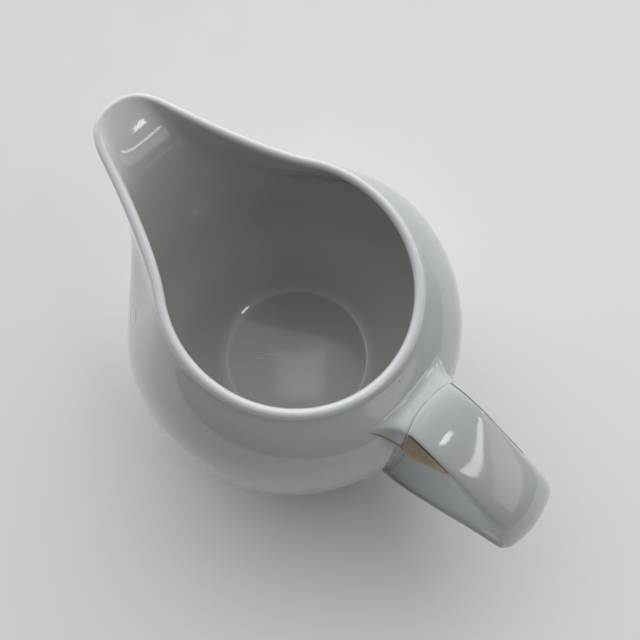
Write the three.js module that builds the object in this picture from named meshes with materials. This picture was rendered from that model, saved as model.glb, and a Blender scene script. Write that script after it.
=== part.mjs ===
// A glazed porcelain cream jug: a cast vessel with a drawn-out pouring spout, a turned foot ring,
// and a strap handle luted on at two roots, with gilding on the upper part of the strap's sides.
// Millimetres, +Z up. The jug stands on z = 0, the handle points to +X and the spout to -X.
import * as THREE from 'three';

// ---------------------------------------------------------------- driving dimensions
const BELLY_R = 42.5;          // outside radius at the widest level
const BELLY_Z = 33;            // height of the widest level
const UNDERSIDE_FALL = 44.6;   // vertical semi-axis of the ellipse below the widest level
const WALL = 3.1;              // wall thickness at the belly

const BASE_Z = 2.6;            // underside of the base, inside the foot ring
const FLOOR_Z = 5.5;           // inside floor
const FLOOR_R = 21.4;          // radius of the flat part of the inside floor

const RIM_R = 28.2;            // radius of the crest of the rim round the mouth
const RIM_Z = 65.5;            // height of the crest above the jug's axis
const RIM_SLOPE = 0.188;       // rise of the rim towards the spout, per mm
const LIP_HALF = 1.25;         // half the thickness of the rounded lip
const LIP_ROUND = 1.2;         // height of the lip's rounding

const MOUTH_END = 127;         // degrees from the handle to where the round mouth turns into the spout
const SPOUT_TIP = 54.2;        // reach of the crest at the tip of the spout, from the jug's axis
const SPOUT_REACH = SPOUT_TIP + LIP_HALF;
const SPOUT_TURN = 1.5;        // degrees by which the spout stands off the line of the handle

const FOOT_OUT = 29;           // foot ring
const FOOT_IN = 25.4;
const GAP = 0.3;               // clearance kept between neighbouring pieces

const HANDLE_REACH = 75.2;     // outermost point of the strap, from the jug's axis
const STRAP_NARROW = 7.4;      // half width of the strap at its upper end
const STRAP_WIDE = 11;         // half width of the strap at its lower end
const STRAP_WIDENING = 1.15;   // 1 widens the strap evenly, more keeps it narrow for longer
const STRAP_THICK = 1.9;       // thickness of the strap at its two sides
const STRAP_CROWN = 1.75;      // rise of the strap's outer face across its width
const UPPER_CROWN = 0.35;      // the same rise at the upper root, where the face is nearly flat
const STRAP_EDGE = 0.85;       // softening of the strap's four edges
const UPPER_EDGE = 0.5;        // the same softening at the upper root
const UPPER_SWELL = 3.6;       // extra thickness where the strap leaves the upper root
const UPPER_FLARE = 2.8;       // extra half width of the inner face there
const LOWER_SWELL = 1.2;       // extra thickness at the lower end
const GILT_SKIN = 0.3;         // thickness of the gilt band on each side of the strap
const GILT_END = 0.155;        // how far down the strap the gilding runs, as a share of its length

// the handle's two ends give the overall length, so the frame's origin is midway between them
const AXIS_X = (SPOUT_REACH - HANDLE_REACH) / 2;

// ---------------------------------------------------------------- small helpers
const mix = (a, b, t) => a + (b - a) * t;
const clamp01 = (t) => Math.min(1, Math.max(0, t));
const ease = (t, from = 0, to = 1) => {
  const s = clamp01((t - from) / (to - from));
  return s * s * (3 - 2 * s);
};
const radians = (degrees) => degrees * Math.PI / 180;
const point = (x, y, z) => new THREE.Vector3(x, y, z);
const bezier = (...controls) => new THREE.CubicBezierCurve3(...controls);

// A closed body from rings of equal length, each end closed by a fan onto its centre.
function ringedSolid(rings, startCentre, endCentre) {
  const count = rings[0].length;
  const points = [startCentre, ...rings.flat(), endCentre];
  const last = points.length - 1;
  const at = (ring, k) => 1 + ring * count + (k % count);
  const faces = [];
  for (let k = 0; k < count; k += 1) {
    faces.push(0, at(0, k + 1), at(0, k));
    for (let ring = 0; ring < rings.length - 1; ring += 1) {
      faces.push(at(ring, k), at(ring, k + 1), at(ring + 1, k + 1));
      faces.push(at(ring, k), at(ring + 1, k + 1), at(ring + 1, k));
    }
    faces.push(last, at(rings.length - 1, k), at(rings.length - 1, k + 1));
  }
  const geometry = new THREE.BufferGeometry();
  geometry.setAttribute('position', new THREE.Float32BufferAttribute(points.flatMap((p) => p.toArray()), 3));
  geometry.setIndex(faces);
  geometry.computeVertexNormals();
  return geometry;
}

function centreOf(ring) {
  const sum = ring.reduce((total, p) => total.add(p), point(0, 0, 0));
  return sum.divideScalar(ring.length);
}

// ---------------------------------------------------------------- plan of the rim
// One half, from the handle (0) round the mouth, along the spout's flank and over its nose.
const MOUTH_SPANS = 20;
const FLANK_SPANS = 10;
const NOSE_SPANS = 6;
const HALF_SPANS = MOUTH_SPANS + FLANK_SPANS + NOSE_SPANS;

const mouthEnd = point(RIM_R * Math.cos(radians(MOUTH_END)), RIM_R * Math.sin(radians(MOUTH_END)), 0);
const mouthHeading = point(-Math.sin(radians(MOUTH_END)), Math.cos(radians(MOUTH_END)), 0);
const noseStart = point(-45.5, 9.4, 0);
const noseHeading = point(-0.944, -0.33, 0);
const flank = bezier(
  mouthEnd,
  mouthEnd.clone().addScaledVector(mouthHeading, 7.5),
  noseStart.clone().addScaledVector(noseHeading, -9),
  noseStart,
);
const nose = bezier(
  noseStart,
  noseStart.clone().addScaledVector(noseHeading, 5.2),
  point(-SPOUT_TIP, 6, 0),
  point(-SPOUT_TIP, 0, 0),
);

function planAt(span) {
  const k = clamp01(span / HALF_SPANS) * HALF_SPANS;
  if (k <= MOUTH_SPANS) {
    const angle = radians(MOUTH_END * k / MOUTH_SPANS);
    return point(RIM_R * Math.cos(angle), RIM_R * Math.sin(angle), 0);
  }
  if (k <= MOUTH_SPANS + FLANK_SPANS) return flank.getPoint((k - MOUTH_SPANS) / FLANK_SPANS);
  return nose.getPoint((k - MOUTH_SPANS - FLANK_SPANS) / NOSE_SPANS);
}

function outwardAt(span) {
  const step = 0.05;
  if (span < step) return point(1, 0, 0);
  if (span > HALF_SPANS - step) return point(-1, 0, 0);
  const along = planAt(span + step).sub(planAt(span - step)).normalize();
  return point(along.y, -along.x, 0);
}

function bellyAngle(span) {
  if (span <= MOUTH_SPANS) return radians(MOUTH_END * span / MOUTH_SPANS);
  return radians(mix(MOUTH_END, 180, (span - MOUTH_SPANS) / (HALF_SPANS - MOUTH_SPANS)));
}

// where the lip's rounding ends inside: upright round the mouth, and in line with the channel at the spout
const lipInside = (span) => mix(180, 118, ease(span, 24, 34));

// a lip point: turn 0 is the lip's outside, 90 its crest, 180 its inside
function lipPoint(span, turn) {
  const crest = planAt(span);
  const out = outwardAt(span);
  const angle = radians(turn);
  const p = crest.clone().addScaledVector(out, LIP_HALF * Math.cos(angle));
  p.z = RIM_Z - RIM_SLOPE * crest.x - LIP_ROUND * (1 - Math.sin(angle));
  return p;
}

// ---------------------------------------------------------------- vessel walls
// Both walls leave the belly upright and reach the lip on one smooth curve. Round the mouth the
// curve closes in as a shoulder; along the spout it opens out, and its last stretch turns from
// across the spout to along it, which makes the pouring channel. For each wall: how far the
// curve's last control point lies outside the lip and below it, at the mouth, flank and tip, and
// how far the curve rises upright from the belly, at the mouth and at the tip.
const OUTER_SHOULDER = { out: [9, 1, -11], down: [6.5, 12, 11], rise: [16.5, 16.5] };
const INNER_SHOULDER = { out: [6.4, 0.6, -11.4], down: [8.5, 12, 6.5], rise: [16, 35] };

function upperWall(span, bellyRadius, lipTurn, shoulder) {
  const toFlank = ease(span, 12, 25);
  const toTip = ease(span, 24, HALF_SPANS);
  const toChannel = ease(span, 22, 32);
  const out = mix(mix(shoulder.out[0], shoulder.out[1], toFlank), shoulder.out[2], toTip);
  const down = mix(mix(shoulder.down[0], shoulder.down[1], toFlank), shoulder.down[2], toChannel);
  const angle = bellyAngle(span);
  const belly = point(bellyRadius * Math.cos(angle), bellyRadius * Math.sin(angle), BELLY_Z);
  const lip = lipPoint(span, lipTurn);
  const heading = outwardAt(span).lerp(point(-1, 0, 0), toChannel).normalize();
  const below = lip.clone().addScaledVector(heading, out).add(point(0, 0, -down));
  const rise = mix(shoulder.rise[0], shoulder.rise[1], toTip);
  return bezier(belly, belly.clone().add(point(0, 0, rise)), below, lip);
}

const outerUpper = (span) => upperWall(span, BELLY_R, 0, OUTER_SHOULDER);
const innerUpper = (span) => upperWall(span, BELLY_R - WALL, lipInside(span), INNER_SHOULDER);

const outerLowerRadius = (z) => BELLY_R * Math.sqrt(1 - ((BELLY_Z - z) / UNDERSIDE_FALL) ** 2);

// profile of the inside below the belly, from the flat floor up
const innerLower = bezier(
  point(FLOOR_R, 0, FLOOR_Z),
  point(FLOOR_R + 7, 0, FLOOR_Z + 3),
  point(BELLY_R - WALL, 0, BELLY_Z - 15),
  point(BELLY_R - WALL, 0, BELLY_Z),
);

// a full ring from a function that gives one point for each span of the half
function ringFrom(pointAt) {
  const ring = [];
  for (let k = 0; k < 2 * HALF_SPANS; k += 1) {
    const mirrored = k > HALF_SPANS;
    const p = pointAt(mirrored ? 2 * HALF_SPANS - k : k);
    if (mirrored) p.y = -p.y;
    ring.push(p.add(point(AXIS_X, 0, 0)));
  }
  return ring;
}

const circleRing = (radius, z) => ringFrom((span) => {
  const angle = bellyAngle(span);
  return point(radius * Math.cos(angle), radius * Math.sin(angle), z);
});

const LOWER_STEPS = 7;
const UPPER_STEPS = 9;
const LIP_STEPS = 5;

function vesselBody() {
  const rings = [circleRing(13, BASE_Z), circleRing(24, BASE_Z), circleRing(outerLowerRadius(BASE_Z) - 1.2, BASE_Z)];
  for (let i = 0; i < LOWER_STEPS; i += 1) {
    const fall = (BELLY_Z - BASE_Z - 0.9) * (1 - Math.sin(Math.PI / 2 * i / LOWER_STEPS));
    rings.push(circleRing(outerLowerRadius(BELLY_Z - fall), BELLY_Z - fall));
  }
  for (let i = 0; i < UPPER_STEPS; i += 1) rings.push(ringFrom((span) => outerUpper(span).getPoint(i / UPPER_STEPS)));
  for (let i = 0; i <= LIP_STEPS; i += 1) rings.push(ringFrom((span) => lipPoint(span, lipInside(span) * i / LIP_STEPS)));
  for (let i = UPPER_STEPS - 1; i > 0; i -= 1) rings.push(ringFrom((span) => innerUpper(span).getPoint(i / UPPER_STEPS)));
  for (let i = LOWER_STEPS; i >= 0; i -= 1) {
    const profile = innerLower.getPoint(i / LOWER_STEPS);
    rings.push(circleRing(profile.x, profile.z));
  }
  rings.push(circleRing(FLOOR_R / 2, FLOOR_Z));
  const body = ringedSolid(rings, point(AXIS_X, 0, BASE_Z), point(AXIS_X, 0, FLOOR_Z));
  body.translate(-AXIS_X, 0, 0);
  body.rotateZ(-radians(SPOUT_TURN));
  body.translate(AXIS_X, 0, 0);
  return body;
}

// ---------------------------------------------------------------- foot ring
function footRing() {
  const top = BASE_Z - GAP;
  const outline = [
    [FOOT_IN + 0.4, 0], [FOOT_OUT - 1, 0], [FOOT_OUT - 0.3, 0.5], [FOOT_OUT, 1.3], [FOOT_OUT, top],
    [FOOT_IN - 0.5, top], [FOOT_IN - 0.2, 0.6], [FOOT_IN + 0.4, 0],
  ].map(([r, z]) => new THREE.Vector2(r, z));
  const geometry = new THREE.LatheGeometry(outline, 60);
  geometry.rotateX(Math.PI / 2);
  geometry.translate(AXIS_X, 0, 0);
  return geometry;
}

// ---------------------------------------------------------------- handle
// The outer face of the strap in side view, from the upper root to the lower one.
const upperEnd = point(39.2, 0, 56.8);
const kneeStart = point(60.9, 0, 49.6);
const elbow = point(HANDLE_REACH - STRAP_CROWN, 0, 36.5);
const legStart = point(67.5, 0, 31.2);
const lowerEnd = point(42.5, 0, 15);
const strapPath = new THREE.CurvePath();
strapPath.add(bezier(upperEnd, point(45, 0, 58.2), point(53.5, 0, 53.5), kneeStart));
strapPath.add(bezier(kneeStart, point(67.1, 0, 46.3), point(elbow.x, 0, 42.8), elbow));
strapPath.add(bezier(elbow, point(elbow.x, 0, 33.6), point(70.3, 0, 33.5), legStart));
strapPath.add(bezier(legStart, point(59.5, 0, 24.5), point(51, 0, 15.6), lowerEnd));

const STRAP_STEPS = 44;
const GILT_STEPS = 12;
const ROOT_BOW = 1.3;          // how far the middle of the strap's upper end reaches towards the jug

// half width of the strap's outer face, s runs 0..1 along the strap
const strapHalf = (s) => mix(STRAP_NARROW, STRAP_WIDE, s ** STRAP_WIDENING);
const strapThick = (s) => STRAP_THICK + UPPER_SWELL * (1 - ease(s, 0.06, 0.18)) + LOWER_SWELL * ease(s, 0.88, 1);
const strapFlare = (s) => UPPER_FLARE * (1 - ease(s, 0.05, 0.19));
const strapCrown = (s) => mix(UPPER_CROWN, STRAP_CROWN, ease(s, 0.05, 0.4));
const strapEdge = (s) => mix(UPPER_EDGE, STRAP_EDGE, ease(s, 0.1, 0.4));

function strapFrame(s) {
  const place = strapPath.getPointAt(s);
  const along = strapPath.getTangentAt(s);
  const outward = point(-along.z, 0, along.x);
  return { place, along, outward };
}

// across: -1..1 over the half width, depth: 0 at the outer face, 1 at the inner face
function strapPoint(s, across, depth, inset) {
  const { place, along, outward } = strapFrame(s);
  const half = strapHalf(s) + strapFlare(s) * depth - inset;
  const bow = ROOT_BOW * (1 - across * across) * (1 - ease(s, 0, 0.1));
  const crown = strapCrown(s) * (1 - across * across) * (1 - depth);
  return place.clone()
    .addScaledVector(outward, crown - strapThick(s) * depth)
    .addScaledVector(along, -bow)
    .add(point(AXIS_X, half * across, 0));
}

function strapSection(s, inset) {
  const soft = strapEdge(s) / strapHalf(s);
  const edge = strapEdge(s) / strapThick(s);
  const faceAcross = [1 - soft, 0.5, 0, -0.5, -1 + soft];
  const outer = faceAcross.map((across) => strapPoint(s, across, 0, inset));
  const inner = faceAcross.map((across) => strapPoint(s, -across, 1, inset));
  const right = [strapPoint(s, -1, edge, inset), strapPoint(s, -1, 1 - edge, inset)];
  const left = [strapPoint(s, 1, 1 - edge, inset), strapPoint(s, 1, edge, inset)];
  return [...outer, ...right, ...inner, ...left];
}

function handleStrap() {
  const rings = [];
  for (let i = 0; i <= STRAP_STEPS; i += 1) {
    const s = i / STRAP_STEPS;
    rings.push(strapSection(s, (GILT_SKIN + GAP) * (1 - ease(s, GILT_END, GILT_END + 0.08))));
  }
  return ringedSolid(rings, centreOf(rings[0]), centreOf(rings[STRAP_STEPS]));
}

// a thin band of gold on the upper part of one side of the strap; side is -1 or 1
function giltBand(side) {
  const rings = [];
  const start = 0.015;
  for (let i = 0; i <= GILT_STEPS; i += 1) {
    const s = mix(start, GILT_END, i / GILT_STEPS);
    const upper = 0.55 / strapThick(s);
    const corners = [
      strapPoint(s, side, upper, GILT_SKIN), strapPoint(s, side, upper, 0),
      strapPoint(s, side, 1 - upper, 0), strapPoint(s, side, 1 - upper, GILT_SKIN),
    ];
    rings.push(side > 0 ? corners.reverse() : corners);
  }
  return ringedSolid(rings, centreOf(rings[0]), centreOf(rings[GILT_STEPS]));
}

// distance of the vessel's outer wall from the jug's axis, at one span of the mouth and height z
function wallRadius(span, z) {
  if (z <= BELLY_Z) return outerLowerRadius(z);
  const curve = outerUpper(span);
  let low = 0;
  let high = 1;
  for (let i = 0; i < 30; i += 1) {
    const middle = (low + high) / 2;
    if (curve.getPoint(middle).z < z) low = middle;
    else high = middle;
  }
  const p = curve.getPoint(low);
  return Math.hypot(p.x, p.y);
}

// the point on the handle's side that stands off the wall by the clearance, at this y and z
function onWall(y, z) {
  let radius = wallRadius(0, z);
  for (let i = 0; i < 3; i += 1) {
    const angle = Math.asin(Math.abs(y) / radius) * 180 / Math.PI;
    radius = wallRadius(MOUTH_SPANS * angle / MOUTH_END, z);
  }
  return point(AXIS_X + Math.sqrt((radius + WALL_GAP) ** 2 - y * y), y, z);
}

// A short flared stub between the vessel and one end of the strap. Its end on the vessel lies on
// the wall, is swept up towards its sides and loses height there by the taper; it narrows to the strap's own section,
// in a hollow curve above and, by hollowBelow, a hollow or a nearly straight one below.
const ROOT_STEPS = 6;
const ROOT_LIFT = 0.8;         // step between the top of the upper root and the strap's outer face
const WALL_GAP = 0.4;          // clearance to the vessel's wall, which is curved both ways

function rootStub(end, foot) {
  const s = end === 'upper' ? 0 : 1;
  const away = end === 'upper' ? -1 : 1;
  const { along, outward } = strapFrame(s);
  const section = strapSection(s, 0);
  const strapRing = section.map((p) => p.clone()
    .addScaledVector(along, GAP * away)
    .addScaledVector(outward, -foot.step * clamp01((p.z - foot.sectionMiddle) / 2)));
  const heightIn = (p) => THREE.MathUtils.clamp((p.z - foot.sectionMiddle) / foot.sectionHalf, -1, 1);
  const wallRing = (scale) => section.map((p) => {
    const across = THREE.MathUtils.clamp(p.y / strapHalf(s), -1, 1);
    const narrowed = 1 - foot.taper * across * across;
    const swept = foot.sweep * across * across;
    return onWall(foot.half * across * scale, foot.middle + (swept + foot.rise * heightIn(p) * narrowed) * scale);
  });
  const rings = [wallRing(1 / 3), wallRing(2 / 3)];
  const rim = wallRing(1);
  for (let i = 0; i <= ROOT_STEPS; i += 1) {
    const t = i / ROOT_STEPS;
    rings.push(rim.map((p, k) => {
      const target = strapRing[k];
      const fillet = 1 - (1 - t) ** mix(foot.hollowBelow, 2.2, (1 + heightIn(section[k])) / 2);
      return point(mix(p.x, target.x, t), mix(p.y, target.y, fillet), mix(p.z, target.z, fillet));
    }));
  }
  // the strap's sections turn over between its two ends
  if (end === 'lower') rings.forEach((ring) => ring.reverse());
  return ringedSolid(rings, onWall(0, foot.middle), centreOf(rings[rings.length - 1]));
}

const UPPER_ROOT = {
  half: 12.5, middle: 51.8, rise: 4.3, sectionMiddle: 54, sectionHalf: 2.75, step: ROOT_LIFT, taper: 0.9, sweep: 3,
  hollowBelow: 1.2,
};
const LOWER_ROOT = {
  half: 12.8, middle: 17.3, rise: 5, sectionMiddle: 16.9, sectionHalf: 1.9, step: 0, taper: 0.3, sweep: 0,
  hollowBelow: 2.2,
};

// ---------------------------------------------------------------- materials and assembly
const glaze = () => new THREE.MeshStandardMaterial({ color: 0xe3e6e4, roughness: 0.12, metalness: 0 });
const biscuit = () => new THREE.MeshStandardMaterial({ color: 0xdcd8cf, roughness: 0.75, metalness: 0 });
const gold = () => new THREE.MeshStandardMaterial({ color: 0x9a7a48, roughness: 0.35, metalness: 0.9 });

const jug = new THREE.Group();

function addPiece(name, geometry, material) {
  const mesh = new THREE.Mesh(geometry, material);
  mesh.name = name;
  jug.add(mesh);
}

addPiece('vessel_body', vesselBody(), glaze());
addPiece('foot_ring', footRing(), biscuit());
addPiece('upper_handle_root', rootStub('upper', UPPER_ROOT), glaze());
addPiece('handle_strap', handleStrap(), glaze());
addPiece('lower_handle_root', rootStub('lower', LOWER_ROOT), glaze());
addPiece('gilt_band_right', giltBand(-1), gold());
addPiece('gilt_band_left', giltBand(1), gold());

export default jug;
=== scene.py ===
"""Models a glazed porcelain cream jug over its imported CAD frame: the cast vessel with its spout,
the unglazed foot ring, the strap handle on its two roots, and the gilding on the strap's sides."""

import math

import bmesh
import bpy
from bpy.props import FloatProperty, FloatVectorProperty, PointerProperty
from mathutils import Matrix, Vector


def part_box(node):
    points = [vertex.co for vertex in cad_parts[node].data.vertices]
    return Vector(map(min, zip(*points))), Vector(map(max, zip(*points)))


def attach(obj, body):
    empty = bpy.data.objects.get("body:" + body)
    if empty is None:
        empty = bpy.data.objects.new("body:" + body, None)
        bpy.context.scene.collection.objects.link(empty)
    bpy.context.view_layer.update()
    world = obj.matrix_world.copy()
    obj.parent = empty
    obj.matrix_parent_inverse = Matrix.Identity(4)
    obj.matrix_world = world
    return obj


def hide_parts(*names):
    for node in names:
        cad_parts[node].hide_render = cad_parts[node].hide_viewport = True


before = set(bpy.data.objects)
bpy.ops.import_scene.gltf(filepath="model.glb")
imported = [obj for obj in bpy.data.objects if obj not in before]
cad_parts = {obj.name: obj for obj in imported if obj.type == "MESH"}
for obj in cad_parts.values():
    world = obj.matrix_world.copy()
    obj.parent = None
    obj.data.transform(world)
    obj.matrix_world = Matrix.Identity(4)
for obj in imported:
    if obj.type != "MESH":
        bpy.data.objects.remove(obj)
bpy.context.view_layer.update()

bl_info = {
    "name": "Cream Jug Maker",
    "version": (1, 0, 0),
    "blender": (4, 5, 0),
    "location": "3D View > Sidebar > Cream Jug",
    "description": "Models a porcelain cream jug with a drawn-out spout and a gilt strap handle",
    "category": "Add Mesh",
}

MM = 0.001
VESSEL_LOW, VESSEL_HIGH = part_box("vessel_body")
FOOT_LOW, FOOT_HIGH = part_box("foot_ring")
STRAP_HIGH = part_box("handle_strap")[1]
AXIS_X = (FOOT_LOW.x + FOOT_HIGH.x) / 2
TO_FRAME = Vector((AXIS_X, 0, 0))


# ---------------------------------------------------------------------------- settings
def length(name, description, default):
    return FloatProperty(name=name, description=description, default=default, unit="LENGTH", precision=5)


def amount(name, description, default):
    return FloatProperty(name=name, description=description, default=default)


def turned(name, description, degrees):
    return FloatProperty(name=name, description=description, default=math.radians(degrees), subtype="ANGLE")


def shade(name, description, default):
    return FloatVectorProperty(
        name=name, description=description, default=default, subtype="COLOR", size=3, min=0.0, max=1.0
    )


class VesselSizes(bpy.types.PropertyGroup):
    belly_radius: length(
        "Belly radius", "Outside radius at the widest level", (VESSEL_HIGH.y - VESSEL_LOW.y) / 2
    )
    belly_height: length("Belly height", "Height of the widest level", 33 * MM)
    underside_fall: length("Underside fall", "Height of the ellipse below the widest level", 44.6 * MM)
    wall: length("Wall", "Thickness of the wall at the belly", 3.1 * MM)
    base_height: length("Base height", "Underside of the base inside the foot ring", VESSEL_LOW.z)
    floor_height: length("Floor height", "Height of the inside floor", 5.5 * MM)
    floor_radius: length("Floor radius", "Radius of the flat part of the inside floor", 21.4 * MM)
    rim_radius: length("Rim radius", "Radius of the crest of the rim round the mouth", 28.2 * MM)
    rim_height: length("Rim height", "Height of the crest of the rim above the jug's axis", 65.5 * MM)
    rim_slope: amount("Rim slope", "Rise of the rim towards the spout", 0.188)
    lip_half: length("Lip half", "Half the thickness of the rounded lip", 1.25 * MM)
    lip_round: length("Lip rounding", "Height of the rounding of the lip", 1.2 * MM)
    mouth_end: turned("Mouth end", "Angle from the handle at which the mouth runs into the spout", 127)
    spout_tip: length("Spout tip", "Reach of the crest of the rim at the tip of the spout", 54.2 * MM)
    spout_turn: turned("Spout turn", "Angle by which the spout stands off the line of the handle", 1.5)


class HandleSizes(bpy.types.PropertyGroup):
    reach: length("Reach", "Outermost point of the strap from the jug's axis", STRAP_HIGH.x - AXIS_X)
    narrow_half: length("Narrow half", "Half width of the strap at its upper end", 7.4 * MM)
    wide_half: length("Wide half", "Half width of the strap at its lower end", 11 * MM)
    widening: amount("Widening", "1 widens evenly, more keeps the strap narrow for longer", 1.15)
    thickness: length("Thickness", "Thickness of the strap at its two sides", 1.9 * MM)
    crown: length("Crown", "Rise of the outer face across its width", 1.75 * MM)
    upper_crown: length("Upper crown", "Rise of the outer face at the upper root", 0.35 * MM)
    edge: length("Edge", "Softening of the strap's edges", 0.85 * MM)
    upper_edge: length("Upper edge", "Softening of the edges at the upper root", 0.45 * MM)
    upper_swell: length("Upper swell", "Extra thickness at the upper end", 3.6 * MM)
    upper_flare: length("Upper flare", "Extra half width of the inner face at the upper end", 2.8 * MM)
    lower_swell: length("Lower swell", "Extra thickness at the lower end", 1.2 * MM)
    root_step: length("Root step", "Step from the upper root up to the strap", 0.8 * MM)
    gilt_skin: length("Gilt skin", "How far the gilding stands off the glaze", 0.04 * MM)


class FinishColours(bpy.types.PropertyGroup):
    glaze: shade("Glaze", "Clear glaze over the white body", (0.56, 0.585, 0.585))
    # the inside glaze is a lighter, greener copy of the same glaze: painted light standing in for the light
    # inside the vessel's hollow
    inside: shade("Inside glaze", "Glaze on the inside, a little greener", (0.66, 0.675, 0.645))
    # pale tone for edges: partly glaze run thin over them, partly a painted highlight on the lip's crest
    # and in the spout's channel; it also gives a paler line round the inside floor's edge
    thin_and_highlighted: shade("Thin glaze", "Where the glaze runs thin over edges", (0.82, 0.84, 0.84))
    pooled: shade("Pooled glaze", "Where the glaze lies thick", (0.47, 0.51, 0.495))
    biscuit: shade("Biscuit", "Bare fired porcelain", (0.66, 0.63, 0.57))
    gold: shade("Gold", "Gilding", (0.38, 0.32, 0.215))
    speck: shade("Speck", "Iron specks in the glaze", (0.07, 0.07, 0.075))
    table: shade("Table", "Pale table top", (0.91, 0.91, 0.91))


class StageSettings(bpy.types.PropertyGroup):
    window_light: amount("Window light", "Brightness of the lit side of the room", 1.6)
    ceiling_light: amount("Ceiling light", "Brightness of the ceiling", 0.43)
    room_light: amount("Room light", "Even light from all round", 0.035)
    panel_light: amount("Panel light", "Share of the bright panels' full brightness", 1.0)
    lens: amount("Lens", "Focal length of the camera in millimetres", 36.06)
    table_size: length("Table size", "Side of the table top", 4.0)


# ---------------------------------------------------------------------------- shape of the vessel
HALF_SPANS = 36
MOUTH_SPANS = 20
FLANK_SPANS = 10
NOSE_SPANS = 6


def mix(a, b, t):
    return a + (b - a) * t


def ease(t, start=0.0, end=1.0):
    s = min(1.0, max(0.0, (t - start) / (end - start)))
    return s * s * (3 - 2 * s)


def bezier(controls, t):
    a, b, c, d = controls
    u = 1 - t
    return a * (u * u * u) + b * (3 * u * u * t) + c * (3 * u * t * t) + d * (t * t * t)


def bezier_heading(controls, t):
    a, b, c, d = controls
    u = 1 - t
    return ((b - a) * (u * u) + (c - b) * (2 * u * t) + (d - c) * (t * t)).normalized()


class VesselShape:
    """The vessel's surfaces, with the jug's axis at x = 0.
    A span runs from 0 at the handle to HALF_SPANS at the spout's tip."""

    # shoulders in millimetres: out and down from the lip, at the handle, the flank and the tip;
    # rise above the belly, at the handle and the tip
    OUTER = {"out": (9, 1, -11), "down": (6.5, 12, 11), "rise": (16.5, 16.5)}
    INNER = {"out": (6.4, 0.6, -11.4), "down": (8.5, 12, 6.5), "rise": (16, 35)}
    # the spans over which one shape turns into the next
    TO_FLANK = (12, 25)
    TO_TIP = (24, HALF_SPANS)
    TO_CHANNEL = (22, 32)
    TO_CHANNEL_LIP = (24, 34)

    def __init__(self, sizes):
        self.sizes = sizes
        turn = sizes.mouth_end
        radius = sizes.rim_radius
        mouth_end = Vector((radius * math.cos(turn), radius * math.sin(turn), 0))
        mouth_heading = Vector((-math.sin(turn), math.cos(turn), 0))
        nose_start = Vector((-45.5, 9.4, 0)) * MM
        nose_heading = Vector((-0.944, -0.33, 0))
        tip = -sizes.spout_tip
        self.flank = (
            mouth_end,
            mouth_end + mouth_heading * 7.5 * MM,
            nose_start - nose_heading * 9 * MM,
            nose_start,
        )
        self.nose = (
            nose_start,
            nose_start + nose_heading * 5.2 * MM,
            Vector((tip, 6 * MM, 0)),
            Vector((tip, 0, 0)),
        )

    def plan(self, span):
        """The crest of the rim seen from above."""
        span = min(float(HALF_SPANS), max(0.0, span))
        if span <= MOUTH_SPANS:
            angle = self.sizes.mouth_end * span / MOUTH_SPANS
            return Vector((math.cos(angle), math.sin(angle), 0)) * self.sizes.rim_radius
        if span <= MOUTH_SPANS + FLANK_SPANS:
            return bezier(self.flank, (span - MOUTH_SPANS) / FLANK_SPANS)
        return bezier(self.nose, (span - MOUTH_SPANS - FLANK_SPANS) / NOSE_SPANS)

    def outward(self, span):
        step = 0.05
        if span < step:
            return Vector((1, 0, 0))
        if span > HALF_SPANS - step:
            return Vector((-1, 0, 0))
        along = (self.plan(span + step) - self.plan(span - step)).normalized()
        return Vector((along.y, -along.x, 0))

    def belly_angle(self, span):
        if span <= MOUTH_SPANS:
            return self.sizes.mouth_end * span / MOUTH_SPANS
        return mix(self.sizes.mouth_end, math.pi, (span - MOUTH_SPANS) / (HALF_SPANS - MOUTH_SPANS))

    def circle_point(self, span, radius, height):
        angle = self.belly_angle(span)
        return Vector((radius * math.cos(angle), radius * math.sin(angle), height))

    def lip_inside(self, span):
        """Where the lip's rounding ends inside: upright round the mouth, in line with the channel at
        the spout."""
        return math.radians(mix(180, 118, ease(span, *self.TO_CHANNEL_LIP)))

    def lip_point(self, span, turn):
        """A point of the rounded lip: turn is 0 outside, half of pi on the crest and pi inside."""
        sizes = self.sizes
        crest = self.plan(span)
        place = crest + self.outward(span) * sizes.lip_half * math.cos(turn)
        place.z = sizes.rim_height - sizes.rim_slope * crest.x - sizes.lip_round * (1 - math.sin(turn))
        return place

    def upper_wall(self, span, radius, lip_turn, shoulder):
        """The curve of one wall from the belly to the lip."""
        to_flank = ease(span, *self.TO_FLANK)
        to_tip = ease(span, *self.TO_TIP)
        to_channel = ease(span, *self.TO_CHANNEL)
        at_handle, at_flank, at_tip = shoulder["out"]
        out = mix(mix(at_handle, at_flank, to_flank), at_tip, to_tip) * MM
        at_handle, at_flank, at_tip = shoulder["down"]
        down = mix(mix(at_handle, at_flank, to_flank), at_tip, to_channel) * MM
        belly = self.circle_point(span, radius, self.sizes.belly_height)
        lip = self.lip_point(span, lip_turn)
        heading = self.outward(span).lerp(Vector((-1, 0, 0)), to_channel).normalized()
        below = lip + heading * out - Vector((0, 0, down))
        rise = mix(shoulder["rise"][0], shoulder["rise"][1], to_tip) * MM
        return (belly, belly + Vector((0, 0, rise)), below, lip)

    def outer_wall(self, span):
        return self.upper_wall(span, self.sizes.belly_radius, 0.0, self.OUTER)

    def inner_wall(self, span):
        radius = self.sizes.belly_radius - self.sizes.wall
        return self.upper_wall(span, radius, self.lip_inside(span), self.INNER)

    def lower_radius(self, height):
        fall = (self.sizes.belly_height - height) / self.sizes.underside_fall
        return self.sizes.belly_radius * math.sqrt(1 - fall * fall)

    def inner_lower(self):
        sizes = self.sizes
        radius = sizes.belly_radius - sizes.wall
        return (
            Vector((sizes.floor_radius, 0, sizes.floor_height)),
            Vector((sizes.floor_radius + 7 * MM, 0, sizes.floor_height + 3 * MM)),
            Vector((radius, 0, sizes.belly_height - 15 * MM)),
            Vector((radius, 0, sizes.belly_height)),
        )

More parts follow.
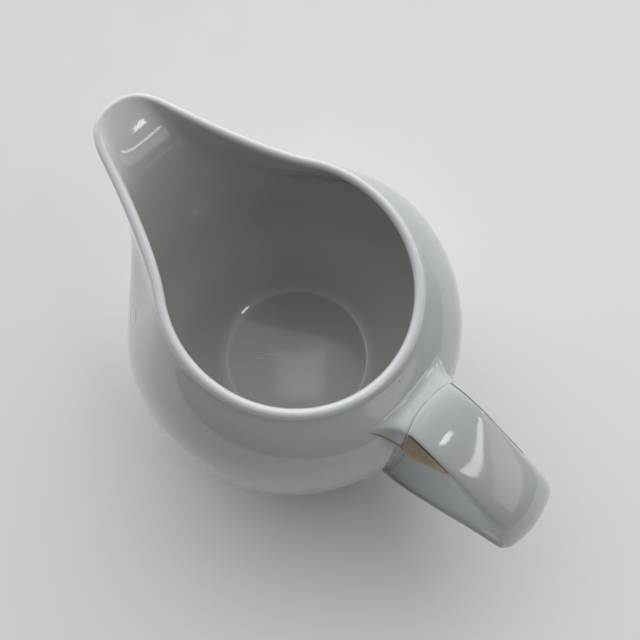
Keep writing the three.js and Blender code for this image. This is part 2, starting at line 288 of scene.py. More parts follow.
    def wall_radius(self, span, height):
        """Distance of the outer wall from the axis."""
        if height <= self.sizes.belly_height:
            return self.lower_radius(height)
        curve = self.outer_wall(span)
        low, high = 0.0, 1.0
        for _ in range(24):
            middle = (low + high) / 2
            if bezier(curve, middle).z < height:
                low = middle
            else:
                high = middle
        return bezier(curve, low).to_2d().length

    def on_wall(self, y, height, lift):
        """The point of the outer wall on the handle's side, raised by lift."""
        radius = self.wall_radius(0, height)
        for _ in range(3):
            angle = math.asin(min(1.0, abs(y) / radius))
            radius = self.wall_radius(MOUTH_SPANS * angle / self.sizes.mouth_end, height)
        return Vector((math.sqrt((radius + lift) ** 2 - y * y), y, height))


# ---------------------------------------------------------------------------- shape of the handle
class HandleShape:
    """The strap and its roots, with the jug's axis at x = 0."""

    ROOT_BOW = 1.3 * MM
    ROOT_STEPS = 9
    MEASURE_STEPS = 60
    FACE_ACROSS = (1.0, 0.72, 0.36, 0.0, -0.36, -0.72, -1.0)
    # feet on the wall in millimetres: half width, middle height and half height, and the strap's
    # middle height and half height there; taper and sweep shape the foot's ends, the hollows its flare
    FEET = {
        "upper": {
            "half": 12.5, "middle": 51.8, "rise": 4.3, "section_middle": 54, "section_half": 2.75,
            "taper": 0.9, "sweep": 3, "hollow_below": 0.1, "hollow_above": 0.55,
        },
        "lower": {
            "half": 12.8, "middle": 17.3, "rise": 5, "section_middle": 16.9, "section_half": 1.9,
            "taper": 0.3, "sweep": 0, "hollow_below": 0.55, "hollow_above": 0.55,
        },
    }

    def __init__(self, sizes, vessel):
        self.sizes = sizes
        self.vessel = vessel
        elbow_x = (sizes.reach - sizes.crown) / MM
        curves = (
            ((39.2, 56.8), (45, 58.2), (53.5, 53.5), (60.9, 49.6)),
            ((60.9, 49.6), (67.1, 46.3), (elbow_x, 42.8), (elbow_x, 36.5)),
            ((elbow_x, 36.5), (elbow_x, 33.6), (70.3, 33.5), (67.5, 31.2)),
            ((67.5, 31.2), (59.5, 24.5), (51, 15.6), (42.5, 15)),
        )
        self.curves = [tuple(Vector((x, 0, z)) * MM for x, z in curve) for curve in curves]
        self.table = self.measure()

    def measure(self):
        """Running length along the strap, so that steps can be even."""
        table = [(0.0, 0, 0.0)]
        total = 0.0
        for index, curve in enumerate(self.curves):
            last = curve[0]
            for i in range(1, self.MEASURE_STEPS + 1):
                here = bezier(curve, i / self.MEASURE_STEPS)
                total += (here - last).length
                last = here
                table.append((total, index, i / self.MEASURE_STEPS))
        return table

    def along(self, s):
        """The place and heading at the fraction s of the strap's length."""
        wanted = s * self.table[-1][0]
        for low, high in zip(self.table, self.table[1:]):
            if high[0] >= wanted:
                break
        start = low[2] if low[1] == high[1] else 0.0
        share = (wanted - low[0]) / (high[0] - low[0])
        t = mix(start, high[2], min(1.0, max(0.0, share)))
        curve = self.curves[high[1]]
        return bezier(curve, t), bezier_heading(curve, t)

    def half(self, s):
        return mix(self.sizes.narrow_half, self.sizes.wide_half, max(0.0, s) ** self.sizes.widening)

    def thickness(self, s):
        upper = self.sizes.upper_swell * (1 - ease(s, 0.06, 0.18))
        return self.sizes.thickness + upper + self.sizes.lower_swell * ease(s, 0.88, 1)

    def point(self, s, across, depth, shrink=0.0):
        """across is -1..1 over the half width; depth is 0 on the outer face and 1 on the inner one."""
        sizes = self.sizes
        place, heading = self.along(s)
        outward = Vector((-heading.z, 0, heading.x))
        flare = sizes.upper_flare * (1 - ease(s, 0.05, 0.19))
        half = self.half(s) + flare * depth - shrink
        sunk = mix(shrink, self.thickness(s) - shrink, depth)
        crown = mix(sizes.upper_crown, sizes.crown, ease(s, 0.05, 0.4))
        crown = crown * (1 - across * across) * (1 - depth)
        bow = self.ROOT_BOW * (1 - across * across) * (1 - ease(s, 0, 0.1))
        place = place + outward * (crown - sunk) - heading * bow
        return Vector((place.x, half * across, place.z))

    def section(self, s, shrink=0.0):
        """A ring of 22 points round the strap: outer face, right side, inner face, left side."""
        softening = mix(self.sizes.upper_edge, self.sizes.edge, ease(s, 0.1, 0.4))
        soft = softening / self.half(s)
        edge = softening / self.thickness(s)
        depths = (edge, mix(edge, 0.5, 0.4), 1 - mix(edge, 0.5, 0.4), 1 - edge)
        outer = [self.point(s, a * (1 - soft), 0, shrink) for a in self.FACE_ACROSS]
        right = [self.point(s, -1, d, shrink) for d in depths]
        inner = [self.point(s, -a * (1 - soft), 1, shrink) for a in self.FACE_ACROSS]
        left = [self.point(s, 1, d, shrink) for d in reversed(depths)]
        return outer + right + inner + left

    def root_rings(self, end):
        """Rings of the upper or lower root from the vessel's wall out to the strap's section."""
        upper = end == "upper"
        foot = self.FEET[end]
        step = self.sizes.root_step if upper else 0.0
        s = 0.0 if upper else 1.0
        heading = self.along(s)[1]
        outward = Vector((-heading.z, 0, heading.x))
        to_wall = -heading if upper else heading
        section = self.section(s)
        middle = foot["section_middle"] * MM
        strap_ring = []
        for p in section:
            upper_share = min(1.0, max(0.0, (p.z - middle) / (2 * MM)))
            strap_ring.append(p - outward * step * upper_share - to_wall * 0.3 * MM)

        def height_in(p):
            return min(1.0, max(-1.0, (p.z - middle) / (foot["section_half"] * MM)))

        def wall_point(p, scale):
            across = min(1.0, max(-1.0, p.y / self.half(s)))
            narrowed = 1 - foot["taper"] * across * across
            off_middle = foot["sweep"] * across * across + foot["rise"] * height_in(p) * narrowed
            z = foot["middle"] + off_middle * scale
            return self.vessel.on_wall(foot["half"] * across * scale * MM, z * MM, -0.12 * MM)

        curves = []
        for p, strap_point in zip(section, strap_ring):
            start = wall_point(p, 1.0)
            slide = (wall_point(p, 0.75) - start).normalized()
            gap = (strap_point - start).length
            hollow = mix(foot["hollow_below"], foot["hollow_above"], (1 + height_in(p)) / 2)
            flared = start + slide * gap * hollow
            curves.append((start, flared, strap_point + to_wall * gap * 0.4, strap_point))
        steps = range(self.ROOT_STEPS + 1)
        return [[bezier(curve, i / self.ROOT_STEPS) for curve in curves] for i in steps]


# ---------------------------------------------------------------------------- modelling by operators
def start_ring(name, first_ring):
    """Adds a circle with one corner for each point, opens it for editing and pulls it to the first ring."""
    if bpy.context.object is not None and bpy.context.object.mode != "OBJECT":
        bpy.ops.object.mode_set(mode="OBJECT")
    bpy.ops.object.select_all(action="DESELECT")
    middle = sum(first_ring, Vector()) / len(first_ring)
    radius = max((p - middle).length for p in first_ring)
    bpy.ops.mesh.primitive_circle_add(vertices=len(first_ring), radius=radius, location=middle)
    piece = bpy.context.object
    piece.name = name
    piece.data.name = name
    bpy.ops.object.transform_apply(location=True, rotation=True, scale=True)
    bpy.ops.object.mode_set(mode="EDIT")
    bpy.ops.mesh.select_mode(type="VERT")
    pull_corners(piece.data, list(range(len(first_ring))), first_ring)
    return piece


def pull_corners(mesh, corners, places):
    """Moves each corner to its place, one at a time, and leaves them all selected."""
    bpy.ops.mesh.select_all(action="DESELECT")
    edit = bmesh.from_edit_mesh(mesh)
    edit.verts.ensure_lookup_table()
    for corner, place in zip(corners, places):
        vertex = edit.verts[corner]
        vertex.select_set(True)
        bpy.ops.transform.translate(value=place - vertex.co)
        vertex.select_set(False)
    for corner in corners:
        edit.verts[corner].select_set(True)
    edit.select_flush(True)


def grow_ring(mesh, corners, places):
    """Extrudes the selected ring and pulls its new corners to their places."""
    bpy.ops.mesh.extrude_region_move()
    edit = bmesh.from_edit_mesh(mesh)
    edit.verts.ensure_lookup_table()
    edit.verts.index_update()
    fresh = []
    for corner in corners:
        old = edit.verts[corner]
        others = (edge.other_vert(old) for edge in old.link_edges)
        fresh.append(next(v.index for v in others if v.select))
    pull_corners(mesh, fresh, places)
    return fresh


def close_ring(mesh):
    """Extrudes the selected ring and draws it together at its middle."""
    bpy.ops.mesh.extrude_region_move()
    bpy.ops.mesh.merge(type="CENTER")


def skin_rings(name, rings, shift, marks=None):
    """Models a closed piece ring by ring; shift moves the jug's axis to its place in the frame.
    marks holds values for each corner of each ring, by name, for the finish to read. The corner that
    closes an end takes the value of that end's ring."""
    placed = [[p + shift for p in ring] for ring in rings]
    piece = start_ring(name, placed[0])
    corners = [list(range(len(placed[0])))]
    for ring in placed[1:]:
        corners.append(grow_ring(piece.data, corners[-1], ring))
    close_ring(piece.data)
    bpy.ops.mesh.select_all(action="DESELECT")
    edit = bmesh.from_edit_mesh(piece.data)
    edit.verts.ensure_lookup_table()
    for corner in corners[0]:
        edit.verts[corner].select_set(True)
    edit.select_flush(True)
    close_ring(piece.data)
    bpy.ops.mesh.select_all(action="SELECT")
    bpy.ops.mesh.normals_make_consistent(inside=False)
    bpy.ops.object.mode_set(mode="OBJECT")
    for mark, values in (marks or {}).items():
        attribute = piece.data.attributes.new(mark, "FLOAT", "POINT")
        for ring_corners, ring_values in zip(corners, values):
            for corner, value in zip(ring_corners, ring_values):
                attribute.data[corner].value = value
        ends = ((placed[0][0].z, values[0]), (placed[-1][0].z, values[-1]))
        for vertex in piece.data.vertices[max(corners[-1]) + 1:]:
            held = min(ends, key=lambda end: abs(end[0] - vertex.co.z))[1]
            attribute.data[vertex.index].value = sum(held) / len(held)
    return piece


def smooth_piece(piece, levels):
    """Subdivides the piece for good and shades it smooth."""
    bpy.context.view_layer.objects.active = piece
    if levels:
        surface = piece.modifiers.new("fine surface", "SUBSURF")
        surface.levels = levels
        surface.render_levels = levels
        bpy.ops.object.modifier_apply(modifier=surface.name)
    bpy.ops.object.shade_smooth()


def settle(piece, node, material):
    """Gives the piece its finish and its place in the frame."""
    piece.data.materials.clear()
    piece.data.materials.append(material)
    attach(piece, "root")
    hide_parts(node)


# ---------------------------------------------------------------------------- materials
class Nodes:
    """Short ways to add and link the nodes of a material or of the room's light."""

    SPOT_SOFTNESS = 0.35

    def __init__(self, owner, output, coordinates):
        owner.use_nodes = True
        self.owner = owner
        self.tree = owner.node_tree
        self.tree.nodes.clear()
        self.output = self.add(output)
        self.coordinates = self.add("ShaderNodeTexCoord").outputs[coordinates]

    @classmethod
    def of_material(cls, name):
        material = bpy.data.materials.get(name) or bpy.data.materials.new(name)
        return cls(material, "ShaderNodeOutputMaterial", "Object")

    def add(self, kind, **settings):
        node = self.tree.nodes.new(kind)
        for key, value in settings.items():
            setattr(node, key, value)
        return node

    def link(self, source, target):
        self.tree.links.new(source, target)

    def noise(self, scale, detail, roughness=0.5):
        node = self.add("ShaderNodeTexNoise")
        self.link(self.coordinates, node.inputs["Vector"])
        node.inputs["Scale"].default_value = scale
        node.inputs["Detail"].default_value = detail
        node.inputs["Roughness"].default_value = roughness
        return node.outputs["Fac"]

    def ramp(self, value, low, high, start=0.0, end=1.0):
        """Maps low..high onto start..end."""
        node = self.add("ShaderNodeMapRange", interpolation_type="SMOOTHSTEP")
        self.link(value, node.inputs["Value"])
        for socket, number in zip(("From Min", "From Max", "To Min", "To Max"), (low, high, start, end)):
            node.inputs[socket].default_value = number
        return node.outputs["Result"]

    def math(self, operation, *values):
        """Each value is a number or a socket."""
        node = self.add("ShaderNodeMath", operation=operation)
        for socket, value in zip(node.inputs, values):
            if isinstance(value, (int, float)):
                socket.default_value = value
            else:
                self.link(value, socket)
        return node.outputs[0]

    def blend(self, share, first, second):
        """Mixes two colours, each a tuple or a socket."""
        node = self.add("ShaderNodeMix", data_type="RGBA")
        self.link(share, node.inputs["Factor"])
        for socket, value in ((node.inputs[6], first), (node.inputs[7], second)):
            if isinstance(value, bpy.types.NodeSocket):
                self.link(value, socket)
            else:
                socket.default_value = (*value, 1.0)
        return node.outputs[2]

    def bump(self, height, strength, distance, normal=None):
        node = self.add("ShaderNodeBump")
        self.link(height, node.inputs["Height"])
        node.inputs["Strength"].default_value = strength
        node.inputs["Distance"].default_value = distance
        if normal is not None:
            self.link(normal, node.inputs["Normal"])
        return node.outputs["Normal"]

    def near(self, place, radius):
        """1 within radius of a place on the object, 0 beyond."""
        node = self.add("ShaderNodeVectorMath", operation="DISTANCE")
        self.link(self.coordinates, node.inputs[0])
        node.inputs[1].default_value = place
        return self.ramp(node.outputs["Value"], radius * (1 - self.SPOT_SOFTNESS), radius, 1.0, 0.0)

    def facing(self, side):
        """1 where the coordinates point to a side, 0 square to it and -1 away from it."""
        node = self.add("ShaderNodeVectorMath", operation="DOT_PRODUCT")
        self.link(self.coordinates, node.inputs[0])
        node.inputs[1].default_value = side
        return node.outputs["Value"]

    def mark(self, name):
        """A value laid on the mesh while it was modelled."""
        return self.add("ShaderNodeAttribute", attribute_name=name).outputs["Fac"]

    def surface(self):
        node = self.add("ShaderNodeBsdfPrincipled")
        self.link(node.outputs[0], self.output.inputs["Surface"])
        return node


# small firing marks: bearing round the jug in degrees; height, distance from the jug's axis and
# radius in millimetres; strength
GLAZE_MARKS = [(bearing, 54, 36.4, 0.5, 0.8) for bearing in (-134, -133, -132, -131, -130)]
GLAZE_MARKS += [
    (0, 58, 31, 0.32, 0.5), (2, 58, 31, 0.25, 0.5), (-6, 57.7, 31.2, 0.22, 0.4),
    (56, 60.6, 30.6, 0.3, 0.6), (44, 56.4, 34.6, 0.25, 0.5),
]


def glaze_material(colours):
    nodes = Nodes.of_material("porcelain_glaze")
    shader = nodes.surface()
    clouds = nodes.ramp(nodes.noise(35.0, 3.0), 0.3, 0.7)
    tone = nodes.blend(clouds, tuple(colours.glaze), tuple(c * 0.97 for c in colours.glaze))
    # the inside is painted in a lighter, greener copy of the glaze, as painted light for the vessel's
    # hollow
    inside = nodes.ramp(nodes.mark("inside"), 0.0, 1.0, 0.0, 0.9)
    tone = nodes.blend(inside, tone, tuple(colours.inside))
    # glaze pools in hollows; edges and the marked places take the pale tone, partly for glaze run thin over
    # edges and partly as a painted highlight on the lip's crest and in the spout's channel
    pointed = nodes.add("ShaderNodeNewGeometry").outputs["Pointiness"]
    tone = nodes.blend(nodes.ramp(pointed, 0.40, 0.5, 0.45, 0.0), tone, tuple(colours.pooled))
    tone = nodes.blend(nodes.mark("thin_and_highlighted"), tone, tuple(colours.thin_and_highlighted))
    tone = nodes.blend(nodes.ramp(pointed, 0.515, 0.57, 0.0, 0.8), tone, tuple(colours.thin_and_highlighted))
    # specks: a few of the cells have a dark middle
    cells = nodes.add("ShaderNodeTexVoronoi")
    nodes.link(nodes.coordinates, cells.inputs["Vector"])
    cells.inputs["Scale"].default_value = 110.0
    near_cell = nodes.ramp(cells.outputs["Distance"], 0.006, 0.014, 1.0, 0.0)
    chosen = nodes.add("ShaderNodeSeparateColor")
    nodes.link(cells.outputs["Color"], chosen.inputs[0])
    rare = nodes.ramp(chosen.outputs[0], 0.90, 0.92)
    specks = nodes.math("MULTIPLY", near_cell, rare)
    for bearing, height, reach, radius, strength in GLAZE_MARKS:
        turn = math.radians(bearing)
        place = Vector((reach * math.cos(turn), reach * math.sin(turn), height)) * MM + TO_FRAME
        mark = nodes.near(place, radius * MM)
        specks = nodes.math("MAXIMUM", specks, nodes.math("MULTIPLY", mark, strength))
    tone = nodes.blend(specks, tone, tuple(colours.speck))
    nodes.link(tone, shader.inputs["Base Color"])
    nodes.link(nodes.ramp(nodes.noise(140.0, 2.0), 0.3, 0.7, 0.07, 0.12), shader.inputs["Roughness"])
    shader.inputs["Coat Weight"].default_value = 0.5
    shader.inputs["Coat Roughness"].default_value = 0.03
    shader.inputs["IOR"].default_value = 1.5
    broad = nodes.bump(nodes.noise(45.0, 1.0), 0.25, 0.0006)
    fine = nodes.bump(nodes.noise(900.0, 1.0), 0.05, 0.0001, broad)
    nodes.link(fine, shader.inputs["Normal"])
    nodes.link(fine, shader.inputs["Coat Normal"])
    return nodes.owner


def biscuit_material(colours):
    nodes = Nodes.of_material("porcelain_biscuit")
    shader = nodes.surface()
    clouds = nodes.ramp(nodes.noise(120.0, 4.0, 0.6), 0.35, 0.7)
    tone = nodes.blend(clouds, tuple(colours.biscuit), tuple(c * 0.8 for c in colours.biscuit))
    nodes.link(tone, shader.inputs["Base Color"])
    nodes.link(nodes.ramp(nodes.noise(300.0, 2.0), 0.3, 0.7, 0.65, 0.85), shader.inputs["Roughness"])
    nodes.link(nodes.bump(nodes.noise(2500.0, 3.0), 0.3, 0.00008), shader.inputs["Normal"])
    return nodes.owner


def gold_material(colours):
    nodes = Nodes.of_material("gilding")
    shader = nodes.surface()
    worn = nodes.ramp(nodes.noise(420.0, 4.0, 0.65), 0.66, 0.72)
    brushed = nodes.ramp(nodes.noise(160.0, 3.0), 0.3, 0.7)
    tone = nodes.blend(brushed, tuple(colours.gold), tuple(c * 0.7 for c in colours.gold))
    tone = nodes.blend(worn, tone, tuple(colours.glaze))
    nodes.link(tone, shader.inputs["Base Color"])
    nodes.link(nodes.ramp(worn, 0.0, 1.0, 1.0, 0.0), shader.inputs["Metallic"])
    nodes.link(nodes.ramp(nodes.noise(600.0, 2.0), 0.3, 0.7, 0.28, 0.48), shader.inputs["Roughness"])
    nodes.link(nodes.bump(nodes.noise(1200.0, 2.0), 0.15, 0.00005), shader.inputs["Normal"])
    return nodes.owner


def table_material(colours):
    nodes = Nodes.of_material("pale_table")
    shader = nodes.surface()
    clouds = nodes.ramp(nodes.noise(3.0, 3.0), 0.3, 0.7)
    tone = nodes.blend(clouds, tuple(colours.table), tuple(c * 0.98 for c in colours.table))
    nodes.link(tone, shader.inputs["Base Color"])
    nodes.link(nodes.ramp(nodes.noise(60.0, 2.0), 0.3, 0.7, 0.55, 0.65), shader.inputs["Roughness"])
    nodes.link(nodes.bump(nodes.noise(700.0, 2.0), 0.05, 0.0002), shader.inputs["Normal"])
    return nodes.owner


# ---------------------------------------------------------------------------- operators
def vessel_shape():
    return VesselShape(bpy.context.scene.jug_vessel)


def handle_shape():
    return HandleShape(bpy.context.scene.jug_handle, vessel_shape())


class JUG_OT_vessel(bpy.types.Operator):
    """Model the cast vessel: base, belly, shoulder, lip, spout and inside"""

    bl_idname = "jug.vessel"
    bl_label = "Vessel"

    HALF_COLUMNS = 48
    LOWER_ROWS = 8
    UPPER_ROWS = 11
    LIP_ROWS = 7
    # millimetres: radii of the underside's rings; then how far its corner is drawn in and raised
    UNDERSIDE_RINGS = (6, 14, 22, 27.5)
    UNDERSIDE_CORNER = ((1.6, 0), (0.5, 0.15))
    # how far each ring of the floor is drawn in, in millimetres, and how much it takes the pale tone: the
    # floor's edge gets a paler line
    FLOOR_EDGE_PALE = 0.8
    FLOOR_RINGS = ((0.25, FLOOR_EDGE_PALE), (0.7, 0.0), (4, 0.0), (9, 0.0), (15, 0.0))
    # the spans over which the spout's channel is painted paler as a painted highlight, and over which its
    # bed takes the outer glaze instead of the inside's painted lighter copy
    CHANNEL = (25, 33)
    CHANNEL_BED = (26, 33)
    CHANNEL_HIGHLIGHT = 0.7

    def spans(self):
        """The span of each column, out to the spout's tip along one side and back along the other."""
        columns = 2 * self.HALF_COLUMNS
        return [HALF_SPANS * min(column, columns - column) / self.HALF_COLUMNS for column in range(columns)]

    def ring(self, point_at):
        """A full ring from a function that gives one point for each span of the half."""
        ring = [point_at(span) for span in self.spans()]
        for place in ring[self.HALF_COLUMNS + 1:]:
            place.y = -place.y
        return ring

    def rings(self, shape):
        """The rings from the middle of the underside up the outside, over the lip and down to the floor,
        and for each corner how far it counts as inside, which paints it in the lighter, greener glaze
        standing in for the light inside, and how much it takes the pale tone: glaze run thin and a painted
        highlight over the lip, a painted highlight in the spout's channel, and a paler line round the
        floor's edge."""
        sizes = shape.sizes
        base = sizes.base_height
        rings, inside, thin_and_highlighted = [], [], []

        def values(value):
            return [value(span) if callable(value) else value for span in self.spans()]

        def add(point_at, inside_here=0.0, thin_and_highlight_here=0.0):
            rings.append(self.ring(point_at))
            inside.append(values(inside_here))
            thin_and_highlighted.append(values(thin_and_highlight_here))

        def circle(radius, height, *here):
            add(lambda span: shape.circle_point(span, radius, height), *here)

        for radius in self.UNDERSIDE_RINGS:
            circle(radius * MM, base)
        for drawn_in, raised in self.UNDERSIDE_CORNER:
            circle(shape.lower_radius(base) - drawn_in * MM, base + raised * MM)
        for row in range(self.LOWER_ROWS):
            share = 1 - math.sin(math.pi / 2 * row / self.LOWER_ROWS)
            height = sizes.belly_height - (sizes.belly_height - base - 1.0 * MM) * share
            circle(shape.lower_radius(height), height)
        for row in range(self.UPPER_ROWS):
            add(lambda span: bezier(shape.outer_wall(span), row / self.UPPER_ROWS))
        # over the lip the pale tone stands for glaze run thin on the crest and, towards the spout, a
        # painted highlight
        for row in range(self.LIP_ROWS + 1):
            share = row / self.LIP_ROWS
            add(
                lambda span: shape.lip_point(span, shape.lip_inside(span) * share),
                lambda span: ease(share, 0.6, 1),
                lambda span: max(math.sin(math.pi * share), self.CHANNEL_HIGHLIGHT * ease(span, *self.CHANNEL)),
            )
        # up the inner wall the spout's channel takes a painted highlight and less of the inside's painted
        # lighter glaze
        for row in range(self.UPPER_ROWS - 1, 0, -1):
            share = row / self.UPPER_ROWS
            high_up = ease(share, 0.5, 0.75)
            add(
                lambda span: bezier(shape.inner_wall(span), share),
                lambda span: 1 - 0.8 * ease(span, *self.CHANNEL_BED) * high_up,
                lambda span: self.CHANNEL_HIGHLIGHT * ease(span, *self.CHANNEL) * high_up,
            )
        # down the inner lower wall to the floor; the floor's edge gets a paler line
        profile = shape.inner_lower()
        for row in range(self.LOWER_ROWS, -1, -1):
            place = bezier(profile, row / self.LOWER_ROWS)
            circle(place.x, place.z, 1.0, 0.0 if row else self.FLOOR_EDGE_PALE)
        for drawn_in, thin_and_highlight_here in self.FLOOR_RINGS:
            circle(sizes.floor_radius - drawn_in * MM, sizes.floor_height, 1.0, thin_and_highlight_here)
        return rings, {"inside": inside, "thin_and_highlighted": thin_and_highlighted}

    def execute(self, context):
        shape = vessel_shape()
        rings, marks = self.rings(shape)
        vessel = skin_rings("vessel", rings, TO_FRAME, marks)
        bpy.ops.object.mode_set(mode="EDIT")
        bpy.ops.mesh.select_all(action="SELECT")
        bpy.ops.transform.rotate(value=shape.sizes.spout_turn, orient_axis="Z", center_override=TO_FRAME)
        bpy.ops.object.mode_set(mode="OBJECT")
        smooth_piece(vessel, 2)
        settle(vessel, "vessel_body", glaze_material(context.scene.jug_colours))
        return {"FINISHED"}


class JUG_OT_foot_ring(bpy.types.Operator):
    """Model the turned foot ring with its unglazed tread"""

    bl_idname = "jug.foot_ring"
    bl_label = "Foot ring"

    WIDTH = 4.1 * MM
    SUNK = 0.1 * MM
    TREAD_ROUNDING = 0.9 * MM
    STEPS = 128

    def execute(self, context):
        bpy.ops.object.select_all(action="DESELECT")
        outer = (FOOT_HIGH.x - FOOT_LOW.x) / 2
        inner = outer - self.WIDTH
        top = context.scene.jug_vessel.base_height + self.SUNK
        middle = Vector((AXIS_X + (outer + inner) / 2, 0, top / 2))
        bpy.ops.mesh.primitive_plane_add(size=1, location=middle, rotation=(math.pi / 2, 0, 0))
        ring = context.object
        ring.name = "foot_rim"
        ring.data.name = "foot_rim"
        ring.scale = (outer - inner, top, 1)
        bpy.ops.object.transform_apply(location=True, rotation=True, scale=True)
        bpy.ops.object.mode_set(mode="EDIT")
        bpy.ops.mesh.select_all(action="DESELECT")
        edit = bmesh.from_edit_mesh(ring.data)
        for vertex in edit.verts:
            vertex.select_set(vertex.co.z < top / 2)
        edit.select_flush(True)
        bpy.ops.mesh.bevel(offset=self.TREAD_ROUNDING, segments=5, affect="VERTICES")
        bpy.ops.mesh.select_all(action="SELECT")
        bpy.ops.mesh.delete(type="ONLY_FACE")
        bpy.ops.mesh.select_all(action="SELECT")
        bpy.ops.mesh.spin(steps=self.STEPS, angle=math.tau, center=(AXIS_X, 0, 0), axis=(0, 0, 1))
        bpy.ops.mesh.select_all(action="SELECT")
        bpy.ops.mesh.remove_doubles(threshold=0.001 * MM)
        bpy.ops.mesh.normals_make_consistent(inside=False)
        bpy.ops.object.mode_set(mode="OBJECT")
        smooth_piece(ring, 0)
        bpy.ops.object.shade_smooth_by_angle(angle=math.radians(40))
        settle(ring, "foot_ring", biscuit_material(context.scene.jug_colours))
        return {"FINISHED"}


class JUG_OT_roots(bpy.types.Operator):
    """Model the two flared roots that the strap is luted to"""

    bl_idname = "jug.roots"
    bl_label = "Handle roots"

    def execute(self, context):
        shape = handle_shape()
        material = glaze_material(context.scene.jug_colours)
        for end in shape.FEET:
            root = skin_rings(end + "_root", shape.root_rings(end), TO_FRAME)
            smooth_piece(root, 2)
            settle(root, end + "_handle_root", material)
        return {"FINISHED"}


class JUG_OT_strap(bpy.types.Operator):
    """Model the strap handle"""

    bl_idname = "jug.strap"
    bl_label = "Strap handle"

    STEPS = 46
    # the rounded ends: fraction of the length from the end, and how far the section is drawn in
    END = 0.005
    ROUNDED = ((0.0, 0.5 * MM), (0.001, 0.12 * MM))

    def execute(self, context):
        shape = handle_shape()
        rings = [shape.section(s, drawn_in) for s, drawn_in in self.ROUNDED]
        rings += [shape.section(mix(self.END, 1 - self.END, i / self.STEPS)) for i in range(self.STEPS + 1)]
        rings += [shape.section(1 - s, drawn_in) for s, drawn_in in reversed(self.ROUNDED)]
        strap = skin_rings("strap_handle", rings, TO_FRAME)
        smooth_piece(strap, 2)
        settle(strap, "handle_strap", glaze_material(context.scene.jug_colours))
        return {"FINISHED"}


class JUG_OT_gilding(bpy.types.Operator):
    """Model the gold brushed on the strap's sides and along the lower edge of its upper root"""

    bl_idname = "jug.gilding"
    bl_label = "Gilding"

    STEPS = 18
    # fractions of the strap's length
    START = 0.004
    RIGHT_END = 0.157
    LEFT_END = 0.30
    # points of the strap's section
    FULL_SIDE = (6, 7, 8, 9, 10, 11)
    FAR_EDGE = (20, 21, 0)
    LOWER_EDGE = (9, 10, 11)
    # how far a band stops short of its outermost points, as a share of the step to the next one
    TRIM = 0.55
    ROOT_TRIM = 0.1
    # how much the gold leans away from the section's middle, against straight out of the side
    LEAN = 0.5

    def strap_rings(self, shape, end):
        return [shape.section(mix(self.START, end, i / self.STEPS)) for i in range(self.STEPS + 1)]

    def band(self, shape, rings, points, sideways, upper_trim=TRIM):
        """Thin closed rings along one side: the glaze's outline, and the same outline lifted off it."""
        bands = []
        for ring in rings:
            edge = [ring[k].copy() for k in points]
            edge[0] = edge[0].lerp(edge[1], upper_trim)
            edge[-1] = edge[-1].lerp(edge[-2], self.TRIM)
            middle = sum(ring, Vector()) / len(ring)
            over = []
            for place in edge:
                away = place - middle
                away.y = 0
                lift = (away.normalized() * self.LEAN + Vector((0, sideways, 0))).normalized()
                over.append(place + lift * shape.sizes.gilt_skin)
            bands.append(over + edge[::-1])
        return bands

    def execute(self, context):
        shape = handle_shape()
        material = gold_material(context.scene.jug_colours)
        root = self.band(shape, shape.root_rings("upper"), self.LOWER_EDGE, -1, self.ROOT_TRIM)
        right = self.band(shape, self.strap_rings(shape, self.RIGHT_END), self.FULL_SIDE, -1)
        left = self.band(shape, self.strap_rings(shape, self.LEFT_END), self.FAR_EDGE, 1)
        line = skin_rings("root_line", root, TO_FRAME)
        band = skin_rings("gilding_right", right, TO_FRAME)
        bpy.ops.object.select_all(action="DESELECT")
        line.select_set(True)
        band.select_set(True)
        context.view_layer.objects.active = band
        bpy.ops.object.join()
        far = skin_rings("gilding_left", left, TO_FRAME)
        for piece, node in ((band, "gilt_band_right"), (far, "gilt_band_left")):
            smooth_piece(piece, 1)
            settle(piece, node, material)
        return {"FINISHED"}


